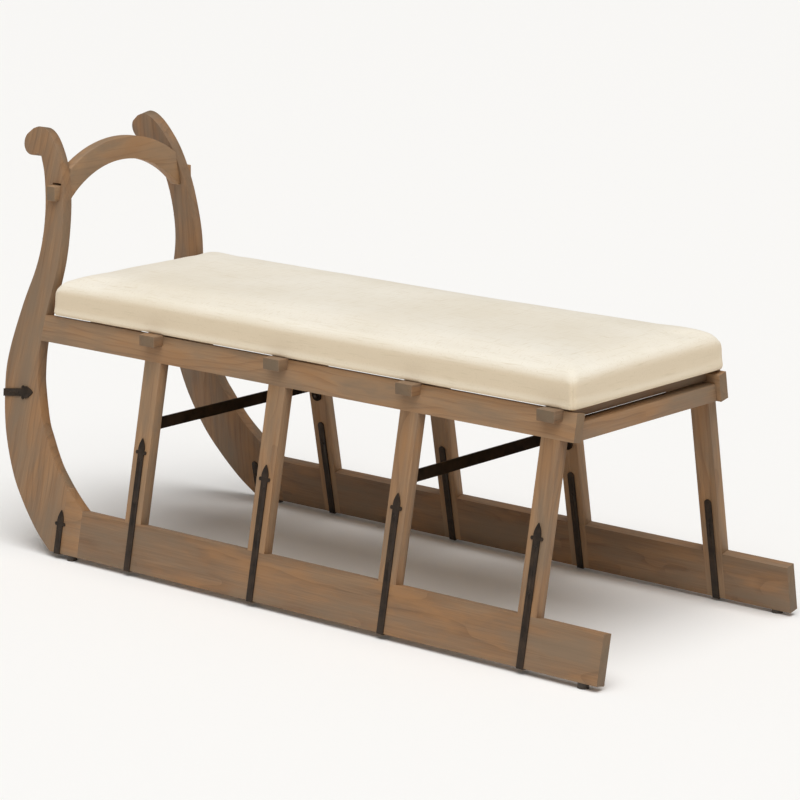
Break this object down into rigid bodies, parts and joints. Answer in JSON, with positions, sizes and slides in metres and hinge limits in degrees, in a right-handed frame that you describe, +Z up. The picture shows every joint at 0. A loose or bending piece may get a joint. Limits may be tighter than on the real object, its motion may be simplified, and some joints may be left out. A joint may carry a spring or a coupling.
{
  "type": "sleigh-shaped wooden bench",
  "caption": "Wooden bench shaped like an old sleigh, with leaning side frames, scrolled horns, an arched rail, black iron straps and a cream cushion.",
  "frame": {"origin": "on the floor plane, at the middle of the length and width", "axes": "+X towards the tail of the runners, the horns at -X; +Y to the right-hand side of someone seated facing the horns; +Z up"},
  "size_m": [1.484, 0.6126, 0.7906],
  "materials": {
    "washed_pine": "grey-brown washed and rubbed pine",
    "batten_wood": "grey-brown washed pine with greyed end grain",
    "dowel_wood": "bare beech dowel",
    "plywood": "bare plywood",
    "linen_cover": "plain cream linen and cotton weave",
    "foam": "open-cell foam with fibre wadding",
    "black_iron": "blackened flat iron, dull",
    "zinc_screws": "plain zinc-plated screws",
    "glide_plastic": "dark brown nail-on glide"
  },
  "bodies": {
    "root": {"runner_left": "washed_pine", "runner_right": "washed_pine", "foot_block_left": "washed_pine", "foot_block_right": "washed_pine", "horn_left": "washed_pine", "horn_right": "washed_pine", "side_rail_left": "washed_pine", "side_rail_right": "washed_pine", "leg_left_1": "washed_pine", "leg_left_2": "washed_pine", "leg_left_3": "washed_pine", "leg_left_4": "washed_pine", "leg_right_1": "washed_pine", "leg_right_2": "washed_pine", "leg_right_3": "washed_pine", "leg_right_4": "washed_pine", "foot_dowels": "dowel_wood", "arch_rail": "washed_pine", "cross_batten_1": "batten_wood", "cross_batten_2": "batten_wood", "cross_batten_3": "batten_wood", "cross_batten_4": "batten_wood", "tail_rail": "washed_pine", "head_rail": "washed_pine", "seat_board": "plywood", "seat_foam": "foam", "cushion_cover": "linen_cover", "leg_strap_left_1": "black_iron", "leg_strap_left_2": "black_iron", "leg_strap_left_3": "black_iron", "leg_strap_left_4": "black_iron", "leg_strap_right_1": "black_iron", "leg_strap_right_2": "black_iron", "leg_strap_right_3": "black_iron", "leg_strap_right_4": "black_iron", "foot_strap_left": "black_iron", "foot_strap_right": "black_iron", "horn_strap_left": "black_iron", "horn_strap_right": "black_iron", "cross_bar_1": "black_iron", "cross_bar_3": "black_iron", "bar_screws": "black_iron", "strap_nails": "black_iron", "horn_studs": "black_iron", "batten_screws": "zinc_screws", "board_screws": "zinc_screws", "glide_left_head": "glide_plastic", "glide_left_tail": "glide_plastic", "glide_right_head": "glide_plastic", "glide_right_tail": "glide_plastic"}
  },
  "joints": []
}
